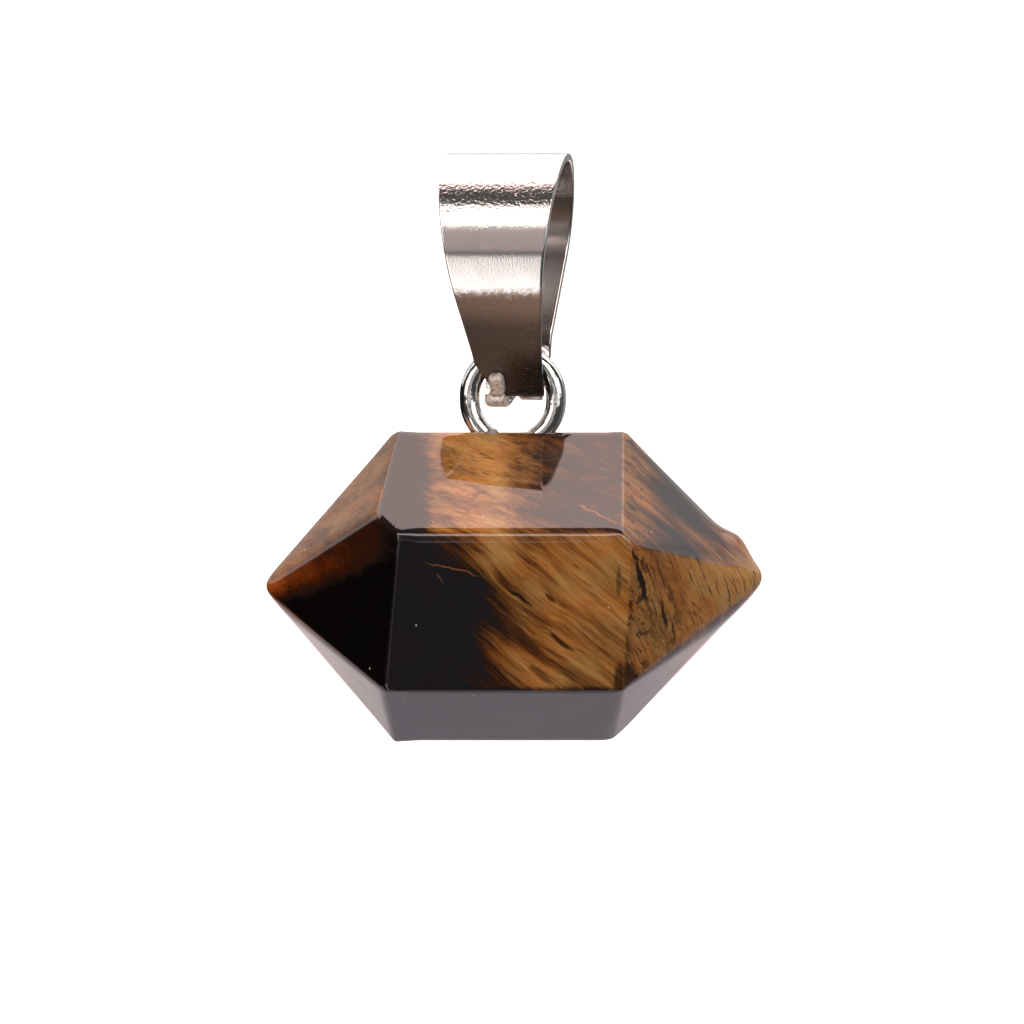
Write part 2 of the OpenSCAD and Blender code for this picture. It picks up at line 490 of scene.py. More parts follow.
@dataclass(frozen=True)
class TigerEye(Finish):
    """Polished tiger eye: silky fibres in sheets, dark and golden zones that are partly the stone's own and
    partly painted chatoyant sheen, under a glassy polish.

    The fibres' patterns run along a fibre, across it in its sheet, and through the sheets. A fade
    is the pair of places, in millimetres along X, where something starts and where it is whole.
    """

    middle: Vec
    material_name: ClassVar[str] = "tiger_eye"
    sheet_normal: Vec = (0.754, 0.85, 1.0)
    fibre_slope: Vec = (1.0, 0.1, -0.8)
    clouds: Pattern = Pattern((0.10, 0.35, 0.75), 3.0)
    cloud_share: float = 1.1
    streaks: Pattern = Pattern((0.24, 1.5, 3.4), 4.0, 0.66)
    streak_share: float = 0.85
    silk: Pattern = Pattern((0.6, 5.5, 14.0), 3.0, 0.65)
    silk_share: float = 0.46
    flecks: Pattern = Pattern((0.55, 1.8, 5.5), 2.0, 0.6)
    rubble: Pattern = Pattern((1.3, 2.0, 2.2), 3.0, 0.6)
    # Needles that the right front end facet cuts: the ways along and across them, and their pattern
    needle_way: Vec = (0.321, 0.343, -0.883)
    needle_across: Vec = (0.604, 0.645, 0.469)
    needles: Pattern = Pattern((0.45, 7.0, 0.0), 3.0, 0.6)
    # Fades of the left end and of the two sides of the upper front facet's warm part
    west_fade: Span = (-5.2, -5.7)
    warm_left_fade: Span = (-4.4, -3.5)
    warm_right_fade: Span = (0.4, -0.8)
    polish_roughness: float = 0.035
    refraction: float = 1.54
    polish_waves: float = 0.012
    # Lean of the upper front facet's polish, which puts the bail's mirror image where the photograph has it
    top_lean: Vec = (0.0, -0.127, -0.102)
    pitch: Vec = (0.0006, 0.0005, 0.0005)
    night: Vec = (0.0095, 0.0085, 0.0115)
    umber: Vec = (0.022, 0.0085, 0.0035)
    brown: Vec = (0.085, 0.031, 0.0075)
    gold: Vec = (0.200, 0.088, 0.022)
    bright: Vec = (0.43, 0.23, 0.072)
    # Painted glow: light shining through the left tip, painted as an orange brightening of the colour
    painted_glow: Vec = (1.5, 0.82, 0.42)
    smoke: Vec = (0.038, 0.027, 0.024)
    orange: Vec = (1.15, 0.90, 0.70)
    orange_line: Vec = (0.30, 0.105, 0.028)
    chalk: Vec = (0.45, 0.42, 0.38)

    def basis(self) -> tuple[np.ndarray, np.ndarray, np.ndarray]:
        """Directions along the fibres, across them in their sheet, and through the sheets."""
        through = np.array(self.sheet_normal) / np.linalg.norm(self.sheet_normal)
        fibre = np.array(self.fibre_slope) - np.dot(self.fibre_slope, through) * through
        fibre /= np.linalg.norm(fibre)
        return fibre, np.cross(through, fibre), through

    def _marks(self, nodes: Nodes, place: Socket, marks: Sequence[Mark]) -> Signal:
        """How strongly placed marks cover a point.

        Each is strength * (1 - (along / length)^2 - (across / width)^2) on its own facet, made a
        soft step. Noise shifts the distance across, and the strongest of the marks counts.

        Args:
            nodes: the material's tree.
            place: the point in millimetres.
            marks: the marks.

        Returns:
            The cover, from 0 to 1.
        """
        wobble = (nodes.noise(place, 1.6, 3.0) - 0.5) * 0.34
        masks = {facet: nodes.attribute(facet.value) for facet in {mark.facet for mark in marks}}
        covers = []
        for mark in marks:
            fall = math.radians(mark.fall)
            centre = np.array(self.middle) + np.array([mark.x, 0, mark.z])
            way_along = np.array([math.cos(fall), 0, -math.sin(fall)]) / mark.length
            way_across = np.array([math.sin(fall), 0, math.cos(fall)]) / mark.width
            u = nodes.along(place, way_along) - float(way_along @ centre)
            v = nodes.along(place, way_across) - float(way_across @ centre) + wobble * (1 / mark.width)
            inside = (1 - u * u - v * v).step(0.0, 0.8)
            covers.append(inside * masks[mark.facet] * mark.strength)
        return reduce(Signal.most, covers)

    def _ground(self, nodes: Nodes, place: Socket, ways: Sequence[Signal], west: Signal) -> Socket:
        """Colour of the fibres in their zones.

        The level on the scale from night to bright is the facet's own tone, partly painted chatoyant sheen,
        plus shares of the clouds, streaks and silk about their mean; the silk is painted sheen. The left
        end is calmer, and where its level is high it carries a painted glow of light shining through the
        tip.

        Args:
            nodes: the material's tree.
            place: the point in millimetres.
            ways: its distances along, across and through the fibres.
            west: how much it belongs to the left end.

        Returns:
            The colour.
        """
        left_end = nodes.attribute(Facet.LEFT_END.value)
        right_end = nodes.attribute(Facet.RIGHT_END.value)
        east = nodes.along(place, (1, 0, 0))
        warm = (nodes.attribute(Facet.TOP.value) * east.step(*self.warm_left_fade)
                * east.step(*self.warm_right_fade))
        level = nodes.attribute("golden") + (right_end - left_end) * 0.05 + warm * 0.16
        level = level + west * (1 - left_end) * 0.08
        swell = ((nodes.pattern(self.clouds, *ways) - 0.5) * self.cloud_share
                 + (nodes.pattern(self.streaks, *ways) - 0.5) * self.streak_share)
        # Painted sheen: the fibres' silky chatoyance as lighter and darker threads in the colour
        sheen = (nodes.pattern(self.silk, *ways) - 0.5) * self.silk_share
        level = level + (swell * (1 - right_end * 0.45) * (1 - left_end * 0.5) + sheen) * (1 - west * 0.5)
        colour = nodes.ramp(level.step(-0.15, 1.25), (
            (0.0, self.night), (0.22, self.night), (0.36, self.umber), (0.52, self.brown),
            (0.70, self.gold), (1.0, self.bright)))
        rusty = nodes.noise(place, 0.55, 2.0).step(0.42, 0.62)
        colour = nodes.mix(rusty * 0.8, colour, self.orange, "MULTIPLY")
        # Painted glow of light shining through the left tip
        colour = nodes.mix(left_end * 0.9, colour, self.painted_glow, "MULTIPLY")
        colour = nodes.mix(left_end * level.step(0.34, 0.16) * 0.9, colour, self.pitch)
        return nodes.mix(nodes.attribute("smoke") * 0.8, colour, self.smoke)

    def _polish(self, nodes: Nodes, place: Socket, sunk: Signal) -> Socket:
        """Normal of the polish: slight waves, sunk needles, and the lean of the upper front facet.

        Args:
            nodes: the material's tree.
            place: the point in millimetres.
            sunk: how deep the needles lie there, from 0 to 1.

        Returns:
            The normal.
        """
        normal = nodes.bump(nodes.noise(place, 0.35, 1.0), self.polish_waves)
        normal = nodes.bump(sunk, -self.polish_waves, normal)
        to_world = {"vector_type": "VECTOR", "convert_from": "OBJECT", "convert_to": "WORLD"}
        lean = nodes.add("ShaderNodeVectorTransform", to_world, {0: self.top_lean}).outputs[0]
        lean = nodes.vector_math("SCALE", {0: lean, "Scale": nodes.attribute(Facet.TOP.value)})
        return nodes.vector_math("NORMALIZE", {0: nodes.vector_math("ADD", {0: normal, 1: lean})})

    def surface(self, nodes: Nodes) -> dict:
        """Values of the shader's sockets: needles, cracks, lines and pits on the fibres' colour."""
        place = nodes.millimetres()
        bend = nodes.noise(place, 0.22, 2.0) * 1.1 + nodes.noise(place, 0.9, 2.0) * 0.13
        fibre, across, through = self.basis()
        ways = (nodes.along(place, fibre), nodes.along(place, across), nodes.along(place, through) + bend)
        west = nodes.along(place, (1, 0, 0)).step(*self.west_fade)
        colour = self._ground(nodes, place, ways, west)

        right_end = nodes.attribute(Facet.RIGHT_END.value)
        light = nodes.attribute("golden").step(0.30, 0.60)
        thread = nodes.pattern(self.flecks, *ways).step(0.60, 0.70) * light * 0.55 * (1 - west * 0.5)
        needle = nodes.pattern(self.needles, nodes.along(place, self.needle_way),
                               nodes.along(place, self.needle_across) + bend * 0.5).step(0.56, 0.66)
        dark = thread.most(needle * right_end * 0.85).most(self._marks(nodes, place, DARK_MARKS))
        colour = nodes.mix(dark, colour, times(self.umber, 0.55))
        rubble = nodes.pattern(self.rubble, *ways).step(0.53, 0.60)
        colour = nodes.mix(rubble * nodes.attribute("crack") * 0.8, colour, times(self.umber, 0.5))
        colour = nodes.mix(self._marks(nodes, place, ORANGE_LINES), colour, self.orange_line)
        pits = nodes.spots(place, 0.45).step(0.030, 0.018)
        return {
            "Base Color": nodes.mix(pits * 0.7, colour, self.chalk),
            "Roughness": self.polish_roughness,
            "IOR": self.refraction,
            "Normal": self._polish(nodes, place, dark * right_end),
        }


@dataclass(frozen=True)
class SatinSteel(Finish):
    """Stainless strip with a satin polish, a dull, worn tab, and on its front foot a painted reflection of
    the stone that darkens into painted shade.

    Its patterns run across and along the strip, on the strip's own UV map, whose units are
    millimetres. On the tab the map runs backwards from 0. A fade is the pair of places where
    something starts and where it is whole: along the strip, or in height where it is named so.
    """

    material_name: ClassVar[str] = "satin_steel"
    colour: Vec = (0.68, 0.655, 0.64)
    roughness: float = 0.15
    grain: Pattern = Pattern((13.0, 7.0, 0.0), 2.0, 0.6)
    grain_depth: float = 0.018
    cloud: Pattern = Pattern((0.8, 0.5, 3.0))
    blotch: Pattern = Pattern((3.0, 3.0, 5.0), 5.0, 0.8)
    blotch_reach: float = 1.3
    speck: Pattern = Pattern((7.0, 7.0, 9.0), 2.0, 0.6)
    speck_depth: float = 0.05
    scuff: Pattern = Pattern((2.6, 14.0, 7.0), 2.0, 0.6)
    mottle: Pattern = Pattern((6.0, 5.0, 2.0), 3.0, 0.7)
    nick_depth: float = 0.015
    grain_height_fade: Span = (-3.6, -1.7)
    band_low_height_fade: Span = (-2.0, -1.7)
    band_high_height_fade: Span = (-0.4, -0.7)
    tab_fade: Span = (-0.5, -0.9)
    # Fades along the strip of the foot's painted reflection of the stone, then of its painted shade, grey
    # and then black
    painted_reflection_fade: Span = (21.5, 22.1)
    painted_shade_fade: Span = (22.6, 24.0)
    deep_shade_fade: Span = (24.6, 26.4)
    # Where the painted black shade starts and is whole, from left to right
    deep_shade_side_fade: Span = (-1.2, 0.5)
    # Painted reflection of the stone's brown, also the colour of the tab's dirt specks; painted gold
    # mottles reflected from the stone; painted shade, grey and black
    brown_speck_and_reflection: Vec = (0.19, 0.12, 0.085)
    reflected_gold_mottle: Vec = (0.26, 0.13, 0.05)
    painted_shade_grey: Vec = (0.075, 0.060, 0.054)
    painted_deep_shade: Vec = (0.009, 0.008, 0.007)
    worn_colour: Vec = (0.70, 0.64, 0.57)

    def surface(self, nodes: Nodes) -> dict:
        """Values of the shader's sockets: grain and specks as relief, and the foot's painted reflection and
        painted shade, scuffs and the worn tab over each other.
        """
        strip = nodes.add("ShaderNodeUVMap", {"uv_map": "strip"}).outputs[0]
        place = nodes.millimetres()
        height = nodes.along(place, (0, 0, 1))
        across = nodes.along(strip, (1, 0, 0))
        along = nodes.along(strip, (0, 1, 0))
        worn = along.step(*self.tab_fade)
        foot = along + (nodes.pattern(self.blotch, across, along) - 0.5) * self.blotch_reach
        painted_reflection = foot.step(*self.painted_reflection_fade)
        cloud = nodes.pattern(self.cloud, across, along)
        speck = nodes.pattern(self.speck, across, along)

        clear = height.step(*self.grain_height_fade) * 0.65 + 0.15
        normal = nodes.bump(nodes.pattern(self.grain, across, along) * clear, self.grain_depth)
        band = height.step(*self.band_low_height_fade) * height.step(*self.band_high_height_fade)
        normal = nodes.bump(speck * (band * 0.36 + worn * 0.8), self.speck_depth, normal)
        normal = nodes.bump(nodes.spots(strip, 0.9).step(0.045, 0.02), -self.nick_depth, normal)

        tone = nodes.mix(cloud.step(0.3, 0.7), self.colour, times(self.colour, 0.94))
        # Painted reflection of the stone on the front foot: brown with gold mottles, darkening into painted
        # grey shade lower down and painted black shade on the right
        tone = nodes.mix(painted_reflection * 0.95, tone, self.brown_speck_and_reflection)
        mottle = nodes.pattern(self.mottle, across, along).step(0.46, 0.64)
        tone = nodes.mix(mottle * painted_reflection * 0.6, tone, self.reflected_gold_mottle)
        tone = nodes.mix(foot.step(*self.painted_shade_fade) * 0.85, tone, self.painted_shade_grey)
        right = nodes.along(place, (1, 0, 0)).step(*self.deep_shade_side_fade)
        tone = nodes.mix(foot.step(*self.deep_shade_fade) * right * 0.95, tone, self.painted_deep_shade)
        scuff = nodes.pattern(self.scuff, across, along).step(0.60, 0.70)
        tone = nodes.mix(scuff * painted_reflection * 0.12, tone, self.colour)
        worn_tone = nodes.mix(speck.step(0.50, 0.60) * 0.6, self.worn_colour, self.brown_speck_and_reflection)
        return {
            "Base Color": nodes.mix(worn, tone, worn_tone),
            "Metallic": 1.0 - worn * 0.7 - painted_reflection * 0.75,
            "Roughness": self.roughness + (cloud - 0.5) * 0.06 + worn * 0.25 + painted_reflection * 0.10,
            "Normal": normal,
        }


@dataclass(frozen=True)
class BrightWire(Finish):
    """Polished round wire, a little uneven and hazy."""

    material_name: ClassVar[str] = "polished_steel"
    colour: Vec = (0.76, 0.745, 0.73)
    roughness: float = 0.05
    dent_depth: float = 0.02

    def surface(self, nodes: Nodes) -> dict:
        """Values of the shader's sockets."""
        place = nodes.millimetres()
        haze = nodes.noise(place, 6.0, 3.0)
        return {
            "Base Color": nodes.mix(haze.step(0.45, 0.75), self.colour, times(self.colour, 0.9)),
            "Metallic": 1.0,
            "Roughness": self.roughness + haze * 0.06,
            "Normal": nodes.bump(nodes.noise(place, 1.4, 2.0), self.dent_depth),
        }


@dataclass(frozen=True)
class Cement(Finish):
    """Grey setting cement with dark specks."""

    material_name: ClassVar[str] = "cement"
    colour: Vec = (0.30, 0.285, 0.27)
    speck_colour: Vec = (0.02, 0.018, 0.016)
    grain_depth: float = 0.05

    def surface(self, nodes: Nodes) -> dict:
        """Values of the shader's sockets."""
        grains = nodes.noise(nodes.millimetres(), 5.0, 3.0, 0.7)
        return {
            "Base Color": nodes.mix(grains.step(0.52, 0.62), self.colour, self.speck_colour),
            "Roughness": 0.35,
            "Normal": nodes.bump(grains, self.grain_depth),
        }


@dataclass(frozen=True)
class PalePaper(Finish):
    """The floor: soft grey under the object, and white far off."""

    material_name: ClassVar[str] = "pale_paper"
    near: Vec = (0.31, 0.33, 0.38)
    far: Vec = (0.9, 0.9, 0.9)
    # Distances from the upright through the origin between which the tone changes
    fade: Span = (60.0, 116.0)

    def surface(self, nodes: Nodes) -> dict:
        """Values of the shader's sockets."""
        place = nodes.millimetres()
        level = nodes.vector(nodes.along(place, (1, 0, 0)), nodes.along(place, (0, 1, 0)), 0.0)
        distance = nodes.signal("ShaderNodeVectorMath", {"operation": "LENGTH"}, {0: level}, "Value")
        tone = nodes.mix(distance.step(*self.fade), self.near, self.far)
        return {"Base Color": tone, "Roughness": 0.9, "Specular IOR Level": 0.1}


@dataclass(frozen=True)
class ToneRun:
    """Tones of one facet along X: golden from 0, near black, to 1, bright, and any grey smoke over it."""

    x: tuple[float, ...]
    golden: tuple[float, ...]
    smoke: tuple[float, ...] = ()


# One run for each facet, in the order of DoublePoint's planes: six sides, then the left and the right end
# The runs are partly the stone's own zones and partly painted chatoyant sheen, lighter or darker by each
# facet's angle
FACET_TONES = (
    ToneRun((-6.0, -4.9, -3.7, -1.0, 1.0, 3.0, 5.0), (0.05, 0.10, 0.58, 0.66, 0.54, 0.40, 0.38),
            (0, 0, 0, 0, 0.2, 0.4, 0.4)),
    ToneRun((-6.0, -2.8, -1.7, -0.9, 0.0, 2.0, 5.0), (0.0, 0.03, 0.28, 0.50, 0.62, 0.70, 0.72)),
    ToneRun((-6.0, -2.0, 0.0, 5.0), (0.05, 0.05, 0.25, 0.3), (0.2, 0.3, 0.3, 0.2)),
    ToneRun((-6.0, -1.0, 1.0, 5.0), (0.2, 0.3, 0.6, 0.6)),
    ToneRun((-6.0, -2.5, -1.0, 5.0), (0.1, 0.15, 0.65, 0.6)),
    ToneRun((-6.0, -3.5, -2.5, 1.0, 2.5, 5.0), (0.2, 0.15, 0.65, 0.65, 0.3, 0.4), (0, 0, 0, 0, 0.3, 0.2)),
    ToneRun((-11.5, -5.5), (0.62, 0.6), (0.1, 0.0)),
    ToneRun((-11.5, -10.5, -9.0, -7.0, -5.5), (0.85, 0.60, 0.50, 0.46, 0.30)),
    ToneRun((-11.5, -9.0, -5.5), (0.65, 0.55, 0.4)),
    ToneRun((-11.5, -5.5), (0.5, 0.3)),
    ToneRun((-11.5, -5.5), (0.5, 0.25)),
    ToneRun((-11.5, -5.5), (0.6, 0.5)),
    ToneRun((5.0, 6.2, 7.4, 8.5, 10.2, 11.5), (0.70, 0.60, 0.36, 0.46, 0.66, 0.95),
            (0, 0.1, 0.3, 0.1, 0, 0)),
    ToneRun((5.0, 6.0, 9.0, 11.5), (0.58, 0.74, 0.86, 1.10)),
    ToneRun((5.0, 8.0, 11.5), (0.4, 0.5, 0.8), (0.1, 0.1, 0)),
    ToneRun((5.0, 11.5), (0.45, 0.75)),
    ToneRun((5.0, 11.5), (0.55, 0.8)),
    ToneRun((5.0, 11.5), (0.45, 0.75), (0.2, 0)),
)


@dataclass(frozen=True)
class EndFacet:
    """A facet of a pyramid: where its base crosses the sharp lines of the two long edges beside it."""

    below: float
    above: float


@dataclass
class DoublePoint:
    """The stone: six side facets, a six-sided pyramid at each end, all edges polished round."""

    ring_centre: np.ndarray
    length: float = 23.1
    across_flats: float = 12.84
    edge_r: float = 0.6
    base_edge_r: float = 0.15
    base_x: float = 5.4
    left_tip_r: float = 1.1
    right_tip_r: float = 1.6
    left_tip_rise: float = 0.05
    right_tip_rise: float = 0.4
    roll: float = 2.5
    forward: float = 0.08
    ring_rise: float = 8.96
    knob_place: Vec = (10.35, 0.0, 2.0)
    knob_push: Vec = (0.20, 0.0, 0.30)
    knob_width: float = 0.85
    sharpness: int = 5
    # The guide that sets where the rows of points lie: a plain double cone with a round body, whose
    # ends lie at guide_left and guide_right; the rays leave the axis at this share of each row's x
    guide_r: float = 7.0
    guide_left: float = -5.3
    guide_right: float = 5.1
    ray_start: float = 0.78
    body_rows: int = 82
    end_rows: int = 80
    around: int = 360
    # Width and gain of the rows' crowding at the tips and bases, and of the columns' at the edges
    end_crowd: Span = (0.9, 3.0)
    body_crowd: Span = (0.7, 2.0)
    edge_crowd: Span = (4.5, 3.0)
    pole_r: float = 0.03
    halvings: int = 34
    # How far in degrees a facet's tones reach past its edge, and how deep the left tip's painted glow of
    # light through the stone goes
    tone_blend: float = 9.0
    painted_glow_depth: float = 1.15
    # Facets of each end by the angle of their middle, up from the front: 60, 0, -60, -120, 180, 120
    left_facets: tuple[EndFacet, ...] = (
        EndFacet(-6.57, -5.32), EndFacet(-6.01, -5.27), EndFacet(-5.55, -6.0),
        EndFacet(-5.75, -5.6), EndFacet(-5.6, -5.7), EndFacet(-5.7, -5.6))
    right_facets: tuple[EndFacet, ...] = (
        EndFacet(5.01, 5.10), EndFacet(5.07, 5.61), EndFacet(4.55, 5.07),
        EndFacet(5.1, 4.8), EndFacet(5.3, 5.15), EndFacet(5.3, 5.2))

    FACET_ANGLES = (60, 0, -60, -120, 180, 120)
    TOP_FRONT, FRONT, LEFT_FRONT, RIGHT_TOP, RIGHT_FRONT, RIGHT_BELOW = 0, 1, 7, 12, 13, 14

    def build(self) -> bpy.types.Object:
        """Makes the stone under the ring.

        Returns:
            The stone's object.
        """
        local = self._surface_points()
        middle = self.ring_centre + np.array([0, -self.forward, -self.ring_rise])
        placed = local @ turn(Axis.X, self.roll).T + middle
        piece = skin("tiger_eye_stone", placed, Ends.POINTS)
        self._store_zones(piece, local)
        piece.data.materials.append(TigerEye(tuple(middle.tolist())).material())
        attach(piece, "drop")
        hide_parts("stone")
        return piece

    def _tips(self) -> tuple[np.ndarray, np.ndarray]:
        """Centres of the two tips' rounding."""
        left = np.array([-self.length / 2 + self.left_tip_r, 0, self.left_tip_rise])
        right = np.array([self.length / 2 - self.right_tip_r, 0, self.right_tip_rise])
        return left, right

    def _planes(self) -> tuple[np.ndarray, np.ndarray]:
        """Normals and distances of all 18 facets.

        A side facet's normal stands straight out at its angle. An end facet goes through its two
        points on the sharp long edges and touches the sphere that rounds the tip: its normal is
        square to the line between the points, and the tip's centre lies the tip's radius under it.

        Returns:
            Normals, 18 by 3, and distances from the stone's middle.
        """
        sharp_r = self.across_flats / 2 / math.cos(math.radians(30))

        def on_edge(x: float, degrees: float) -> np.ndarray:
            """Point of a sharp long edge."""
            a = math.radians(degrees)
            return np.array([x, -sharp_r * math.cos(a), sharp_r * math.sin(a)])

        normals, distances = [], []
        for degrees in self.FACET_ANGLES:
            a = math.radians(degrees)
            normals.append(np.array([0, -math.cos(a), math.sin(a)]))
            distances.append(self.across_flats / 2)
        ends = zip(self._tips(), (self.left_tip_r, self.right_tip_r), (self.left_facets, self.right_facets),
                   (-1, 1))
        for tip, tip_r, facets, side in ends:
            for degrees, facet in zip(self.FACET_ANGLES, facets):
                low = on_edge(facet.below, degrees - 30)
                high = on_edge(facet.above, degrees + 30)
                along = (high - low) / np.linalg.norm(high - low)
                reach = low - tip
                reach = reach - np.dot(reach, along) * along
                far = np.linalg.norm(reach)
                share = tip_r / far
                square = np.cross(along, reach / far)
                square *= side * np.sign(square[0])
                normal = share * reach / far + math.sqrt(1 - share**2) * square
                normals.append(normal)
                distances.append(float(normal @ low))
        return np.array(normals), np.array(distances)

    def _rounding(self, x: np.ndarray) -> np.ndarray:
        """Radius of the edges: least round the pyramids' bases, and growing evenly to the tips."""
        left, right = self._tips()
        base, edge = self.base_x, self.edge_r
        xs = [left[0], -base - 1, -base, 1 - base, base - 1, base, base + 1, right[0]]
        at_base = [edge, self.base_edge_r, edge]
        return np.interp(x, xs, [self.left_tip_r, *at_base, *at_base, self.right_tip_r])

    def _surface_points(self) -> np.ndarray:
        """Grid of points on the rounded stone, seen from rays that leave its long axis.

        With a_i the height over a facet's plane sunk by the local radius r, the surface is where
        (sum of max(a_i, 0)^n)^(1/n) = r: flat facets, and round edges where two of them meet.
        The place along each ray is found by halving the interval. A knob near the right tip is
        pushed out by exp(-(distance / width)^2).

        Returns:
            Points in the stone's own frame, rows from the left tip to the right one.
        """
        normals, distances = self._planes()
        half = self.length / 2
        left_run, right_run = half + self.guide_left, half - self.guide_right
        cone = math.hypot(left_run, self.guide_r)
        share = crowded(cone, self.end_rows, [0, cone], *self.end_crowd) / cone
        body = self.guide_right - self.guide_left
        between = crowded(body, self.body_rows, [0, body], *self.body_crowd)[1:-1]
        guide_x = np.concatenate([share * left_run - half, between + self.guide_left,
                                  half - share[::-1] * right_run])
        guide_r = np.concatenate([share, np.ones(len(between)), share[::-1]]) * self.guide_r
        off_axis = guide_r > self.pole_r
        guide_x, guide_r = guide_x[off_axis], guide_r[off_axis]
        turns = crowded(360, self.around + 1, range(30, 360, 60), *self.edge_crowd)[:-1]
        angle = np.radians(turns - 90)
        outward = np.stack([np.zeros_like(angle), -np.cos(angle), np.sin(angle)], -1)

        axis = np.array([1, 0, 0])
        along = guide_x[:, None, None] * axis
        start = along * self.ray_start
        ray = along - start + outward[None] * guide_r[:, None, None]
        ray = ray / np.linalg.norm(ray, axis=-1, keepdims=True)
        near = np.zeros(ray.shape[:2])
        far = np.full(ray.shape[:2], 2 * self.guide_r)
        for _ in range(self.halvings):
            middle = (near + far) / 2
            outside = self._height(start + ray * middle[..., None], normals, distances) > 0
            far = np.where(outside, middle, far)
            near = np.where(outside, near, middle)
        points = start + ray * far[..., None]
        away = np.linalg.norm(points - np.array(self.knob_place), axis=-1, keepdims=True)
        return points + np.array(self.knob_push) * np.exp(-((away / self.knob_width) ** 2))

    def _height(self, points: np.ndarray, normals: np.ndarray, distances: np.ndarray) -> np.ndarray:
        """How far points lie outside the rounded stone, negative inside."""
        radius = self._rounding(points[..., 0])
        over = np.maximum(points @ normals.T - (distances - radius[..., None]), 0)
        return (over**self.sharpness).sum(-1) ** (1 / self.sharpness) - radius

    def _store_zones(self, piece: bpy.types.Object, local: np.ndarray) -> None:
        """Stores how golden, smoky and cracked each vertex is, and how much it belongs to some facets.

        Each facet has its own run of tones along the stone, looked up by x; the runs are partly painted
        chatoyant sheen. A vertex takes them in shares of exp(-(angle from the facet / tone_blend)^2),
        worked out from its own normal. On the left front end facet the tone, a painted glow of light
        through the tip, fades as exp(-(depth below its upper edge / painted_glow_depth)^2).

        Args:
            piece: the stone's object.
            local: its points in the stone's own frame.
        """
        count = len(piece.data.vertices)
        normal = np.empty(count * 3)
        piece.data.vertices.foreach_get("normal", normal)
        normal = normal.reshape(-1, 3) @ turn(Axis.X, self.roll)
        places = np.vstack([local.reshape(-1, 3), local[0].mean(0), local[-1].mean(0)])
        x, z = places[:, 0], places[:, 2]
        planes, _ = self._planes()
        angle = np.degrees(np.arccos(np.clip(normal @ planes.T, -1, 1)))
        nearness = np.exp(-((angle / self.tone_blend) ** 2)) + 1e-9
        nearness /= nearness.sum(1, keepdims=True)
        golden = np.zeros(count)
        smoke = np.zeros(count)
        for plane, (weight, tones) in enumerate(zip(nearness.T, FACET_TONES)):
            level = np.interp(x, tones.x, tones.golden)
            # Painted glow: light through the left tip, brightest along the left front facet's upper edge
            if plane == self.LEFT_FRONT:
                below_edge = 0.05 + 0.51 * (x + self.length / 2) - z
                level = level * np.exp(-((np.maximum(below_edge, 0) / self.painted_glow_depth) ** 2))
            golden += weight * level
            if tones.smoke:
                smoke += weight * np.interp(x, tones.x, tones.smoke)
        under_ridge = smooth_step(1.2, 2.4, z) * smooth_step(-5.2, -3.0, x) * smooth_step(0.8, -1.0, x)
        golden += 0.35 * (under_ridge * nearness[:, self.FRONT])
        right_ends = nearness[:, self.RIGHT_TOP:self.RIGHT_BELOW + 1].sum(1)
        at_base = smooth_step(5.0, 5.5, x) * smooth_step(6.9, 5.9, x) * right_ends
        lower = smooth_step(6.4, 6.8, x) * smooth_step(8.4, 7.4, x) * smooth_step(1.2, 0.2, z)
        stored = {"golden": golden, "smoke": smoke,
                  "crack": np.maximum(at_base, lower * nearness[:, self.RIGHT_FRONT] * 0.6)}
        planes_by_facet = {Facet.FRONT: self.FRONT, Facet.TOP: self.TOP_FRONT,
                           Facet.RIGHT_END: self.RIGHT_FRONT, Facet.LEFT_END: self.LEFT_FRONT}
        stored |= {facet.value: nearness[:, plane] for facet, plane in planes_by_facet.items()}
        for name, values in stored.items():
            attribute = piece.data.attributes.new(name, "FLOAT", "POINT")
            attribute.data.foreach_set("value", values.astype(np.float32))


@dataclass
class WireRing:
    """The ring: round wire bent to an oval of two half circles with short straights between them."""

    wire_d: float = 0.94
    ring_d: float = 4.04
    stretch: float = 0.2
    yaw: float = 3.0
    sides: int = 40
    bend_rows: int = 120

    def centre(self) -> np.ndarray:
        """The ring's upper centre in millimetres, from the ring's box in the frame."""
        low, high = (np.array(corner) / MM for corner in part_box("ring"))
        return np.array([0, (low[1] + high[1]) / 2, high[2] - (self.ring_d + self.wire_d) / 2])

    def build(self) -> bpy.types.Object:
        """Sweeps the wire's circle round the oval.

        A point is centre + R (cos t, sin t) + r (cos s outwards + sin s across), and the lower half
        is moved down by the stretch.

        Returns:
            The ring's object.
        """
        t = np.linspace(0, 2 * math.pi, 2 * self.bend_rows, endpoint=False)
        t = t + math.pi / (2 * self.bend_rows)
        out = np.stack([np.cos(t), np.zeros_like(t), np.sin(t)], -1)
        line = out * self.ring_d / 2
        line[:, 2] -= np.where(np.sin(t) < 0, self.stretch, 0)
        s = np.linspace(0, 2 * math.pi, self.sides, endpoint=False)
        wire_r = self.wire_d / 2
        rows = line[:, None] + wire_r * (np.cos(s)[None, :, None] * out[:, None]
                                         + np.sin(s)[None, :, None] * np.array([0, 1, 0]))
        placed = rows @ turn(Axis.Z, -self.yaw).T + self.centre()
        piece = skin("wire_ring", placed, Ends.LOOP)
        piece.data.materials.append(BrightWire().material())
        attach(piece, "drop")
        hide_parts("ring")
        return piece


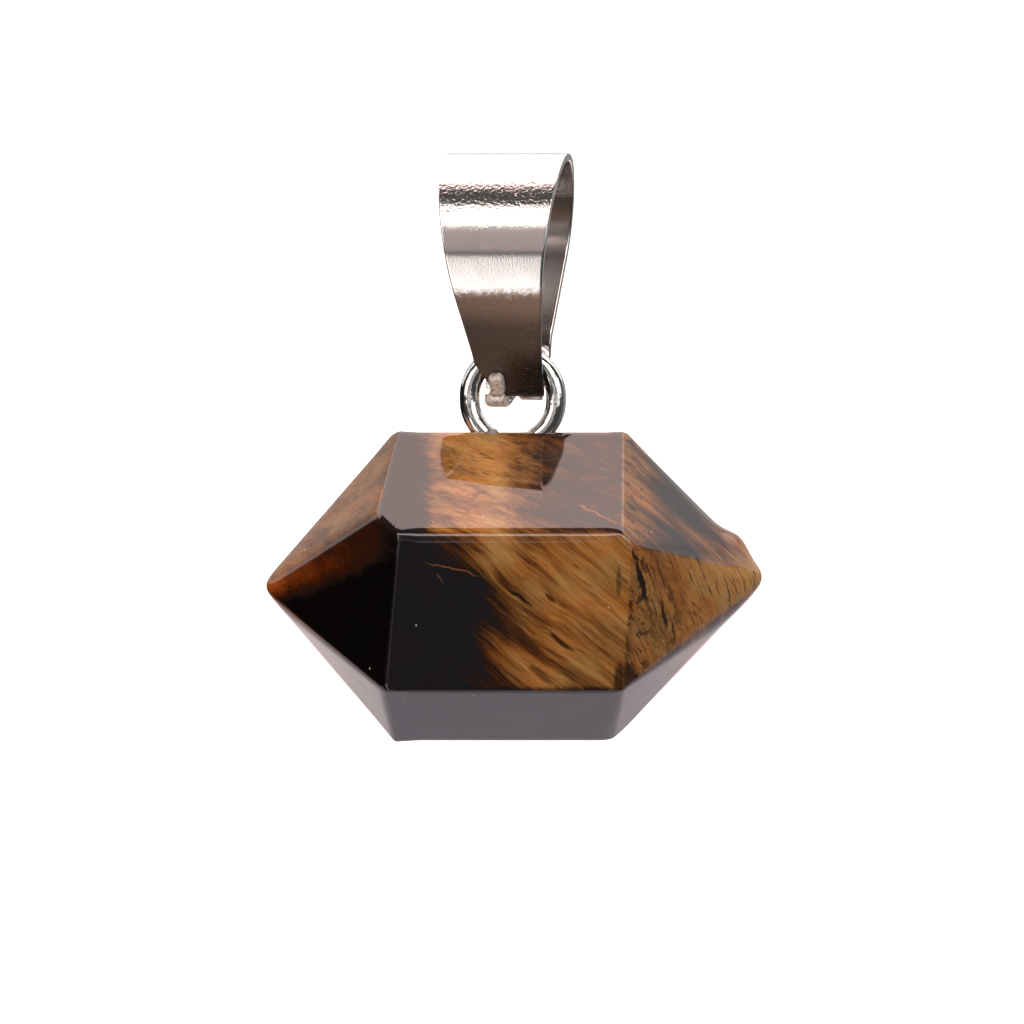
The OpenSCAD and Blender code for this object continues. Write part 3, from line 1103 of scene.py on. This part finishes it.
@dataclass
class FoldLine:
    """Middle line of a folded strip seen from its side, with the outward normal at each point."""

    points: np.ndarray
    normals: np.ndarray

    def __post_init__(self) -> None:
        """Measures the line's running length."""
        steps = np.linalg.norm(np.diff(self.points, axis=0), axis=1)
        self.run = np.concatenate([[0], np.cumsum(steps)])

    @property
    def length(self) -> float:
        """Whole length of the line."""
        return float(self.run[-1])

    def at(self, distance: np.ndarray) -> tuple[np.ndarray, np.ndarray]:
        """Points and unit normals at distances along the line.

        Args:
            distance: array of distances.

        Returns:
            Points and normals, each with a last axis of depth and height.
        """
        place = np.stack([np.interp(distance, self.run, self.points[:, k]) for k in (0, 1)], -1)
        normal = np.stack([np.interp(distance, self.run, self.normals[:, k]) for k in (0, 1)], -1)
        return place, normal / np.linalg.norm(normal, axis=-1, keepdims=True)


def arc_run(centre: Sequence[float], radius: float, start: float, stop: float,
            hollow: bool = False) -> tuple[np.ndarray, np.ndarray]:
    """Points centre + radius (cos a, sin a) of an arc and their outward normals.

    Args:
        centre: depth and height of the arc's centre.
        radius: its radius.
        start: first angle in degrees.
        stop: last angle in degrees.
        hollow: True where the centre lies outside the loop, so that outwards is towards it.

    Returns:
        Points and normals.
    """
    a = np.radians(np.linspace(start, stop, ARC_POINTS))
    ray = np.stack([np.cos(a), np.sin(a)], -1)
    return np.array(centre) + radius * ray, -ray if hollow else ray


@dataclass(frozen=True)
class Course:
    """A strip's run along a fold line.

    left and right are the x of its two sides at each distance, relief a factor on the height of
    its outer face there, notch the depth of the V in its start, and uv_way is 1 where the map's
    v grows along the line and -1 where it falls.
    """

    line: FoldLine
    distance: np.ndarray
    left: np.ndarray
    right: np.ndarray
    relief: np.ndarray
    edge_r: float
    notch: float
    uv_way: int


@dataclass(frozen=True)
class Leaf:
    """Lower part of one side of the bail; heights go down from its top, slopes are from upright."""

    height: float
    belly_r: float
    slope: float
    bend_h: float
    bend_r: float
    lower_slope: float
    close_r: float
    close_turn: float


@dataclass
class FoldedBail:
    """The bail: a strip folded to a loop with a pocket under it, and a tab clinched over its front."""

    ring_centre: np.ndarray
    strip_t: float = 0.36
    strip_top_w: float = 5.86
    strip_waist_w: float = 3.3
    waist_h: float = 9.0
    strip_end_w: float = 2.92
    front: Leaf = Leaf(11.45, 4.8, 27.0, 9.0, 4.0, 27.0, 1.0, 54.0)
    back: Leaf = Leaf(11.78, 2.9, 30.0, 8.593, 1.5, 0.0, 1.5, 64.0)
    clip_start_h: float = 9.4
    clip_end_h: float = 10.85
    clip_start_x: float = 1.72
    front_clip_x: float = 0.95
    back_clip_x: float = 1.25
    loop_depth: float = 7.26
    crown_r: float = 3.35
    crown_turn: float = 46.0
    yaw: float = 10.8
    roll: float = 1.2
    pitch: float = 4.8
    # Left and right sides of the tab at its root, its lowest line, its lump, its crease and its peg
    tab_left: tuple[float, ...] = (-1.32, -1.22, -1.30, -1.08, -0.95)
    tab_right: tuple[float, ...] = (0.00, -0.22, -0.20, -0.36, -0.22)
    tab_gap: float = 0.04
    tab_meets: float = 250.0
    tab_rise: float = 1.20
    # Share of the way to the fold by which the tab starts inside the back leaf
    tab_overlap: float = 0.35
    # The lump, the crease after it and the peg: places along the tab, widths and heights
    lump_shift: float = 0.1
    lump_width: float = 0.33
    lump_swell: float = 0.7
    crease_shift: float = 0.02
    crease_width: float = 0.09
    crease_depth: float = 0.75
    peg_start: float = 0.25
    peg_swell: float = 0.75
    tip_flat: float = 0.05
    edge_round: float = 0.07
    tab_round: float = 0.17
    # The V in the back leaf's end: its depth, its x on the left, in the middle and on the right, and
    # how far up the leaf its rows are bent
    notch_depth: float = 0.36
    notch_x: Vec = (-0.35, -0.04, 0.24)
    notch_reach: float = 1.4
    row_step: float = 0.085
    columns: int = 60
    ring_drop: float = 11.46
    ring_d: float = 4.04

    def build(self) -> bpy.types.Object:
        """Makes the strip and its tab as one solid, leaning over the ring as the photograph shows.

        Returns:
            The bail's object.
        """
        strip, tab = self._strip(), self._tab()
        join = strip.modifiers.new("tab", "BOOLEAN")
        join.operation = "UNION"
        join.solver = "EXACT"
        join.object = tab
        graph = bpy.context.evaluated_depsgraph_get()
        joined = bpy.data.meshes.new_from_object(strip.evaluated_get(graph))
        strip.modifiers.clear()
        strip.data = joined
        bpy.data.objects.remove(tab)
        strip.data.materials.clear()
        strip.data.materials.append(SatinSteel().material())
        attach(strip, "bail")
        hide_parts("bail")
        return strip

    def _closing_fold(self, leaf: Leaf) -> tuple[np.ndarray, np.ndarray]:
        """Centres of a leaf's closing fold and of the bend above it.

        The bend joins the two slopes of the leaf, and the fold starts on the lower one.

        Args:
            leaf: the side of the bail.

        Returns:
            Depth and height of both, with positive depths.
        """
        belly = self._belly_centre(leaf)
        slope, lower, close = (math.radians(a) for a in (leaf.slope, leaf.lower_slope, leaf.close_turn))
        out = np.array([math.cos(slope), -math.sin(slope)])
        belly_end = belly + leaf.belly_r * out
        start_b = belly_end[0] - (leaf.bend_h + belly_end[1]) * math.tan(slope)
        bend = np.array([start_b, -leaf.bend_h]) + leaf.bend_r * out
        bend_end = bend + leaf.bend_r * np.array([-math.cos(lower), math.sin(lower)])
        close_z = -leaf.height + leaf.close_r * math.sin(close)
        fold_z = close_z - leaf.close_r * math.sin(lower)
        fold_b = bend_end[0] - (bend_end[1] - fold_z) * math.tan(lower)
        return np.array([fold_b - leaf.close_r * math.cos(lower), close_z]), bend

    def _belly_centre(self, leaf: Leaf) -> np.ndarray:
        """Centre of the belly's arc, where the shoulder's arc over it comes to upright."""
        below = (self.shoulder_r - self.crown_r) * math.cos(math.radians(self.crown_turn))
        return np.array([self.loop_depth / 2 - leaf.belly_r, -self.crown_r - below])

    @property
    def shoulder_r(self) -> float:
        """Outer radius of the shoulder, which joins the crown to the upright side."""
        sine = math.sin(math.radians(self.crown_turn))
        return (self.loop_depth / 2 - self.crown_r * sine) / (1 - sine)

    def _side(self, leaf: Leaf) -> tuple[np.ndarray, np.ndarray]:
        """Middle line of one side from the top to the end of its leaf, with positive depths.

        Arcs follow each other tangentially: crown, shoulder, belly, the bend between the leaf's
        two slopes, and the closing fold.

        Args:
            leaf: the side of the bail.

        Returns:
            Points and outward normals.
        """
        inset = self.strip_t / 2
        belly = self._belly_centre(leaf)
        fold, bend = self._closing_fold(leaf)
        runs = [
            arc_run((0, -self.crown_r), self.crown_r - inset, 90, 90 - self.crown_turn),
            arc_run((self.loop_depth / 2 - self.shoulder_r, belly[1]), self.shoulder_r - inset,
                    90 - self.crown_turn, 0),
            arc_run(belly, leaf.belly_r - inset, 0, -leaf.slope),
            arc_run(bend, leaf.bend_r + inset, 180 - leaf.slope, 180 - leaf.lower_slope, hollow=True),
            arc_run(fold, leaf.close_r - inset, -leaf.lower_slope, -leaf.close_turn)]
        return np.vstack([r[0] for r in runs]), np.vstack([r[1] for r in runs])

    def _placed(self, local: np.ndarray) -> np.ndarray:
        """Points of the bail's own frame, from the top of the strip, leaned about the ring's top."""
        matrix = turn(Axis.Z, -self.yaw) @ turn(Axis.Y, -self.roll) @ turn(Axis.X, self.pitch)
        ring_top = np.array([0, 0, self.ring_d / 2])
        over_ring = np.array([0, 0, self.ring_drop]) - ring_top
        return (local + over_ring) @ matrix.T + (self.ring_centre + ring_top)

    def _half_loop(self, r: float) -> tuple[np.ndarray, np.ndarray, np.ndarray]:
        """Outer half of the strip's cross-section: share across, inset in from the side, and height.

        It goes from the middle of the left edge over the rounded corner, the face and the other
        corner to the middle of the right edge.

        Args:
            r: radius of the corners.

        Returns:
            Three arrays of equal length.
        """
        corner = np.radians(np.linspace(0, 90, 7))
        flat = np.linspace(0, 1, self.columns)[1:-1]
        share = np.concatenate([[0], np.zeros(7), flat, np.ones(7), [1]])
        rise = r * (1 - np.cos(corner))
        inset = np.concatenate([[0], rise, r * (1 - 2 * flat), -rise[::-1], [0]])
        top = self.strip_t / 2
        height = np.concatenate([[0], top - r + r * np.sin(corner), np.full(len(flat), top),
                                 top - r + r * np.sin(corner[::-1]), [0]])
        return share, inset, height

    def _sweep(self, name: str, course: Course) -> bpy.types.Object:
        """Carries the rounded cross-section along a fold line.

        A point is line(s) + n * normal(s) in depth and height, at x between the two sides. Near each
        end the thickness shrinks along a quarter circle, so that the end is rounded as the sides are.

        Args:
            name: name of the object.
            course: the run of the strip.

        Returns:
            The object.
        """
        line, distance, r = course.line, course.distance, course.edge_r
        share, inset, height = self._half_loop(r)
        inner = slice(-2, 0, -1)
        share = np.concatenate([share, share[inner]])
        inset = np.concatenate([inset, inset[inner]])
        outer = np.concatenate([np.ones(len(height)), np.zeros(len(height) - 2)])
        height = np.concatenate([height, -height[inner]])
        x = course.left[:, None] + share * (course.right - course.left)[:, None] + inset
        cut = np.interp(x, self.notch_x, [0, 1, 0]) * course.notch
        s = distance[:, None] + cut * np.clip(1 - distance / self.notch_reach, 0, 1)[:, None]
        to_end = np.minimum(distance, line.length - distance)
        shrink = r - np.sqrt(np.maximum(r**2 - np.maximum(r - to_end, 0) ** 2, 0))
        limit = (self.strip_t / 2 - shrink)[:, None]
        n = np.clip(np.broadcast_to(height, x.shape), -limit, limit)
        n = n * (1 + outer * (course.relief[:, None] - 1))
        place, normal = line.at(s)
        local = np.concatenate([x[..., None], place + n[..., None] * normal], -1)
        uv = np.stack([x, course.uv_way * s], -1)
        return skin(name, self._placed(local), Ends.SEAMS, uv)

    def _row_distances(self, length: float, r: float, step: float) -> np.ndarray:
        """Distances of a strip's rows: even steps, with a few more in its rounded ends of radius r."""
        ends = r * (1 - np.cos(np.radians(np.linspace(0, 90, 5))))
        middle = np.linspace(r, length - r, int(length / step))[1:-1]
        return np.concatenate([ends, middle, length - ends[::-1]])

    def _strip(self) -> bpy.types.Object:
        """The strip from the end of the back leaf over the top to the end of the front leaf."""
        back, back_n = self._side(self.back)
        front, front_n = self._side(self.front)
        mirror = np.array([-1, 1])
        points = np.vstack([back[::-1], front[1:] * mirror])
        normals = np.vstack([back_n[::-1], front_n[1:] * mirror])
        line = FoldLine(points, normals)
        distance = self._row_distances(line.length, self.edge_round, self.row_step)
        place, _ = line.at(distance)
        down = -place[:, 1]
        half = np.interp(down, [0, self.waist_h, self.front.height], np.array(
            [self.strip_top_w, self.strip_waist_w, self.strip_end_w]) / 2)
        is_front = place[:, 0] < 0
        clip_h = [self.clip_start_h, self.clip_end_h]
        front_clip = np.interp(down, clip_h, [self.clip_start_x, self.front_clip_x])
        back_clip = np.interp(down, clip_h, [self.clip_start_x, self.back_clip_x])
        low = down > self.clip_start_h
        left = -np.where(is_front & low, np.minimum(half, front_clip), half)
        right = np.where(~is_front & low, np.minimum(half, back_clip), half)
        even = np.ones(len(distance))
        course = Course(line, distance, left, right, even, self.edge_round, self.notch_depth, 1)
        return self._sweep("steel_bail", course)

    def _tab(self) -> bpy.types.Object:
        """The tab: it leaves the back leaf's end, passes under the front leaf and stands up before it.

        Its line is a smooth cubic from the back leaf's end to an arc concentric with the front
        leaf's own closing fold, then a straight up along that leaf. Its outer face swells to a lump
        under the leaf and to a rounded peg at the tip, with a crease between them.

        Returns:
            The tab's object, which build joins to the strip.
        """
        mirror = np.array([-1, 1])
        leaf_line, _ = self._side(self.back)
        start = leaf_line[-1]
        start_way = leaf_line[-1] - leaf_line[-2]
        start_way /= np.linalg.norm(start_way)
        centre, _ = self._closing_fold(self.front)
        radius = self.front.close_r + self.tab_gap + self.strip_t / 2
        bend, bend_n = arc_run(centre * mirror, radius, self.tab_meets, 180 + self.front.lower_slope)
        bend_way = np.array([bend_n[0][1], -bend_n[0][0]])
        span = np.linalg.norm(bend[0] - start)
        t = np.linspace(-self.tab_overlap, 1, 30)[:-1, None]
        inside = start + t * span * start_way
        cubic = ((2 * t**3 - 3 * t**2 + 1) * start + (t**3 - 2 * t**2 + t) * span * start_way
                 + (3 * t**2 - 2 * t**3) * bend[0] + (t**3 - t**2) * span * bend_way)
        lead = np.where(t < 0, inside, cubic)
        lower = math.radians(self.front.lower_slope)
        rise = np.linspace(0, self.tab_rise, 20)[1:, None] * np.array([-math.sin(lower), math.cos(lower)])
        points = np.vstack([lead, bend, bend[-1] + rise])
        way = np.gradient(points, axis=0)
        way /= np.linalg.norm(way, axis=1, keepdims=True)
        line = FoldLine(points, np.stack([-way[:, 1], way[:, 0]], -1))
        distance = self._row_distances(line.length, self.tab_round, self.row_step / 2)
        low_run, bend_run = line.run[len(lead)], line.run[len(lead) + len(bend) - 1]
        marks = [0, low_run, (low_run + bend_run) / 2 + self.lump_shift,
                 bend_run - self.crease_shift, bend_run + self.peg_start]
        left = np.interp(distance, marks, self.tab_left)
        right = np.interp(distance, marks, self.tab_right)
        tip_r = (self.tab_right[-1] - self.tab_left[-1]) / 2 - self.tip_flat
        over = np.maximum(tip_r - (line.length - distance), 0)
        narrow = tip_r - np.sqrt(np.maximum(tip_r**2 - over**2, 0))
        lump = np.exp(-(((distance - marks[2]) / self.lump_width) ** 2))
        crease = np.exp(-(((distance - marks[3]) / self.crease_width) ** 2))
        peg = smooth_step(marks[3], marks[4], distance)
        relief = 1.0 + self.lump_swell * lump - self.crease_depth * crease + self.peg_swell * peg
        course = Course(line, distance, left + narrow, right - narrow, relief, self.tab_round, 0.0, -1)
        return self._sweep("closing_tab", course)


@dataclass
class CementCollar:
    """A crumb of cement where the wire enters the stone."""

    name: str
    place: Vec
    size: Vec
    seed: float
    unevenness: float = 0.2
    pole_gap: float = 0.05
    # Direction of each wave over the crumb, and its number of radians from the middle outwards
    waves: tuple[tuple[Vec, float], ...] = (
        ((1, 0.4, 0.2), 3.1), ((-0.3, 1, 0.5), 4.7), ((0.2, -0.6, 1), 6.3), ((0.8, 0.5, -0.7), 9.1))

    def build(self) -> bpy.types.Object:
        """Makes an uneven ellipsoid: each radius times 1 + unevenness * a sum of sines of the direction."""
        polar = np.linspace(self.pole_gap, math.pi - self.pole_gap, 30)[:, None]
        around = np.linspace(0, 2 * math.pi, 48, endpoint=False)[None]
        ray = np.stack(np.broadcast_arrays(np.sin(polar) * np.cos(around), np.sin(polar) * np.sin(around),
                                           np.cos(polar)), -1)
        lumps = sum(np.sin(ray @ np.array(way) * turns + self.seed * turns) / (k + 1.5)
                    for k, (way, turns) in enumerate(self.waves))
        rows = ray * np.array(self.size) * (1 + self.unevenness * lumps[..., None]) + np.array(self.place)
        piece = skin(self.name, rows, Ends.POINTS)
        piece.data.materials.append(Cement().material())
        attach(piece, "drop")
        return piece


@dataclass(frozen=True)
class Panel:
    """A bright or dark part of the studio round the object, by direction in degrees.

    Azimuth is 0 at the camera's side and grows to the right; height is 0 at the horizon.
    """

    name: str
    azimuth: float
    half_width: float
    low: float
    high: float
    radiance: float
    side_soft: float = 8.0
    edge_soft: float = 3.0
    tint: Vec = (1.0, 1.0, 1.0)


@dataclass
class Studio:
    """Soft light from a plain studio, a pale floor, and a camera at the photograph's angle."""

    floor_below: float = 30.0
    floor_half_width: float = 60.0
    floor_front: float = 5.0
    floor_back: float = 1200.0
    camera_height: float = 7.5
    camera_distance: float = 600.0
    camera_sees: Span = (0.05, 20.0)
    picture_width: float = 47.85
    picture_centre: Vec = (-0.04, 0.51, -16.53)
    sensor: float = 36.0
    # The bright part overhead and behind: how far it comes forward, and how much less at the horizon
    ceiling_front: float = 0.225
    horizon_front: float = 0.32
    ceiling_edge: Span = (-0.02, 0.05)
    ceiling_radiance: float = 4.4
    horizon_radiance: float = 1.4
    ceiling_tint: Vec = (1.0, 0.78, 0.73)
    ceiling_fade: Span = (0.5, 0.95)
    dim: float = 0.06
    panels: tuple[Panel, ...] = (
        Panel("front softbox", 0, 52, 20.5, 36, 5.0, 12, 2.5, (1.0, 0.90, 0.84)),
        Panel("left reflector", -42, 24, -5.2, 20, 1.9, 6, 1.5, (1.0, 0.94, 0.92)),
        Panel("left rim card", -33, 9, -7.9, -4, 1.9, 4, 0.8),
        Panel("right rim card", 30, 12, -7.9, -4, 1.4, 6, 0.8),
        Panel("camera side wall", -22, 9, -12, 20.5, 0.52, 6, 2.5, (1.0, 0.83, 0.81)),
        Panel("camera", 4, 15, -5, 18, 0.16, 8, 4),
        Panel("right reflector", 40, 26, -5.2, 18, 1.4, 8, 1.5),
        Panel("table", 3, 18, -8.7, -6.3, 0.9, 8, 1),
        Panel("left paper", -31, 9.5, -88, -17.5, 2.0, 4, 3, (1.0, 0.93, 0.91)),
        Panel("left card", -115, 50, -30, 6, 0.015, 14, 8),
        Panel("right wall", 90, 20, -25, 10, 0.12, 12, 8),
        Panel("right back wall", 128, 22, -60, 10, 0.35, 12, 8),
        Panel("back edge card", 172, 34, -60, 10, 0.30, 6, 6),
        Panel("left sky card", -139, 24, 9, 38, 0.60, 12, 8),
        Panel("right sky card", 139, 24, 9, 38, 1.05, 12, 8),
    )

    def build(self) -> None:
        """Makes the light, the floor and the camera."""
        self._world()
        self._floor()
        self._camera()
        log.info("studio: %s", ", ".join(panel.name for panel in self.panels))

    def _world(self) -> None:
        """Light as a function of direction: the ceiling and back wall, then each panel laid over it."""
        world = bpy.data.worlds.new("studio")
        bpy.context.scene.world = world
        world.use_nodes = True
        nodes = Nodes(world.node_tree)
        way = nodes.add("ShaderNodeTexCoord").outputs["Generated"]
        x, y, z = (nodes.along(way, axis) for axis in ((1, 0, 0), (0, 1, 0), (0, 0, 1)))
        height = z.arcsine() * (180 / math.pi)
        flat = nodes.vector_math("NORMALIZE", {0: nodes.vector(x, y, 0.0)})
        level = z.step(*self.ceiling_fade)
        back = y + z * self.ceiling_front - (1 - abs(z)).most(0.0) * self.horizon_front
        radiance = self.horizon_radiance + level * (self.ceiling_radiance - self.horizon_radiance)
        bright = back.step(*self.ceiling_edge) * radiance
        tinted = nodes.vector(*(bright * (level * (tint - 1.0) + 1.0) for tint in self.ceiling_tint))
        light = nodes.mix(1.0, (self.dim, self.dim, self.dim), tinted, "LIGHTEN")
        for panel in self.panels:
            a = math.radians(panel.azimuth)
            aside = nodes.along(flat, (math.sin(a), -math.cos(a), 0))
            wide = math.cos(math.radians(panel.half_width + panel.side_soft / 2))
            narrow = math.cos(math.radians(max(panel.half_width - panel.side_soft / 2, 0)))
            soft = panel.edge_soft / 2
            mask = aside.step(wide, narrow) * height.step(panel.low - soft, panel.low + soft)
            mask = mask * height.step(panel.high + soft, panel.high - soft)
            light = nodes.mix(mask, light, times(panel.tint, panel.radiance))
        seen = nodes.signal("ShaderNodeLightPath", None, None, "Is Camera Ray")
        light = nodes.mix(seen, light, (1.0, 1.0, 1.0))
        shade = nodes.add("ShaderNodeBackground", None, {"Color": light, "Strength": 1.0})
        nodes.add("ShaderNodeOutputWorld", None, {"Surface": shade.outputs[0]})

    def _floor(self) -> None:
        """A flat pale floor under the object that reaches far behind it."""
        top = CAD_BOX[0][2] - self.floor_below * MM
        w, front, back = self.floor_half_width * MM, -self.floor_front * MM, self.floor_back * MM
        corners = [(-w, front, top), (w, front, top), (w, back, top), (-w, back, top)]
        mesh = bpy.data.meshes.new("floor")
        mesh.from_pydata(corners, [], [(0, 1, 2, 3)])
        floor = bpy.data.objects.new("floor", mesh)
        bpy.context.scene.collection.objects.link(floor)
        mesh.materials.append(PalePaper().material())

    def _camera(self) -> None:
        """A long lens that frames the object as the photograph does."""
        angle = math.radians(self.camera_height)
        data = bpy.data.cameras.new("camera")
        data.sensor_width = self.sensor
        data.lens = self.sensor * self.camera_distance / self.picture_width
        data.clip_start, data.clip_end = self.camera_sees
        camera = bpy.data.objects.new("camera", data)
        bpy.context.scene.collection.objects.link(camera)
        back_off = np.array([0, -math.cos(angle), math.sin(angle)]) * self.camera_distance
        camera.location = (np.array(self.picture_centre) + back_off) * MM
        camera.rotation_euler = (math.pi / 2 - angle, 0, 0)
        bpy.context.scene.camera = camera
        bpy.context.scene.view_settings.view_transform = "Standard"


def main() -> None:
    """Builds the studio and the pendant, piece by piece."""
    logging.basicConfig(level=logging.INFO, format="%(message)s")
    Studio().build()
    ring = WireRing()
    ring_centre = ring.centre()
    crumbs = (
        CementCollar("cement_left", (-1.0, ring_centre[1] - 0.30, -12.80), (0.36, 0.30, 0.22), 0.4),
        CementCollar("cement_right", (1.35, ring_centre[1] - 0.22, -12.85), (0.30, 0.28, 0.18), 2.1),
    )
    for maker in (DoublePoint(ring_centre), ring, FoldedBail(ring_centre), *crumbs):
        piece = maker.build()
        places = np.array([v.co for v in piece.data.vertices]) / MM
        log.info("%s: %s, %d faces, from %s to %s mm", type(maker).__name__, piece.name,
                 len(piece.data.polygons), places.min(0).round(3), places.max(0).round(3))


if __name__ == "__main__":
    main()
